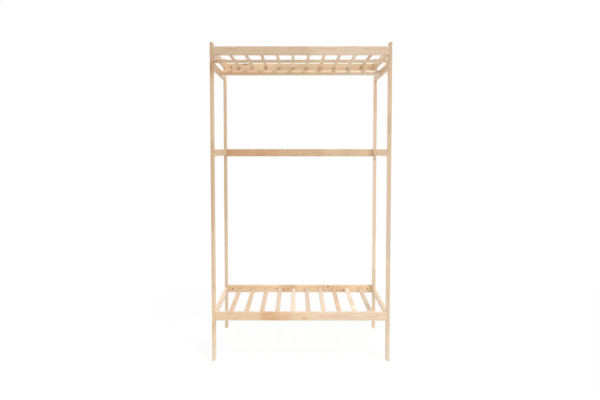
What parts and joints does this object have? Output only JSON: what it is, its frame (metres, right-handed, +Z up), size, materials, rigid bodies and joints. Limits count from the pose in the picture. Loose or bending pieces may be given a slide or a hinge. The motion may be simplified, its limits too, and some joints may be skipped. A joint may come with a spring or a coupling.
{
  "type": "open clothes wardrobe frame",
  "caption": "Open bare-wood wardrobe frame with straight posts, a slatted shelf above and below, a clothes rod and a front curtain rod.",
  "frame": {"origin": "on the floor, under the middle of the frame (bottom centre of the bounding box)", "axes": "+Z up along the posts, -Y towards the front with the curtain rod, X along the front with +X to the viewer's right"},
  "size_m": [1, 0.5, 1.78],
  "materials": {
    "post_wood": "bare planed pine",
    "rail_wood": "bare planed finger-jointed pine",
    "slat_wood": "bare planed pine",
    "rod_wood": "bare turned wood, sanded",
    "dowel_wood": "beech dowel, machined",
    "zinc_steel": "zinc plated",
    "browned_steel": "browned"
  },
  "bodies": {
    "root": {"post_front_left": "post_wood", "post_front_right": "post_wood", "post_back_left": "post_wood", "post_back_right": "post_wood", "top_front_rail": "rail_wood", "top_back_rail": "rail_wood", "middle_back_rail": "rail_wood", "bottom_front_rail": "rail_wood", "bottom_back_rail": "rail_wood", "top_side_rail_left": "rail_wood", "top_side_rail_right": "rail_wood", "rod_side_rail_left": "rail_wood", "rod_side_rail_right": "rail_wood", "middle_side_rail_left": "rail_wood", "middle_side_rail_right": "rail_wood", "bottom_side_rail_left": "rail_wood", "bottom_side_rail_right": "rail_wood", "clothes_rod": "rod_wood", "curtain_rod": "rod_wood", "top_slat_01": "slat_wood", "top_slat_02": "slat_wood", "top_slat_03": "slat_wood", "top_slat_04": "slat_wood", "top_slat_05": "slat_wood", "top_slat_06": "slat_wood", "top_slat_07": "slat_wood", "top_slat_08": "slat_wood", "top_slat_09": "slat_wood", "top_slat_10": "slat_wood", "bottom_slat_01": "slat_wood", "bottom_slat_02": "slat_wood", "bottom_slat_03": "slat_wood", "bottom_slat_04": "slat_wood", "bottom_slat_05": "slat_wood", "bottom_slat_06": "slat_wood", "bottom_slat_07": "slat_wood", "bottom_slat_08": "slat_wood", "bottom_slat_09": "slat_wood", "bottom_slat_10": "slat_wood", "connector_bolts": "zinc_steel", "barrel_nuts": "browned_steel", "cross_rail_dowels": "dowel_wood", "side_rail_dowels": "dowel_wood"}
  },
  "joints": []
}
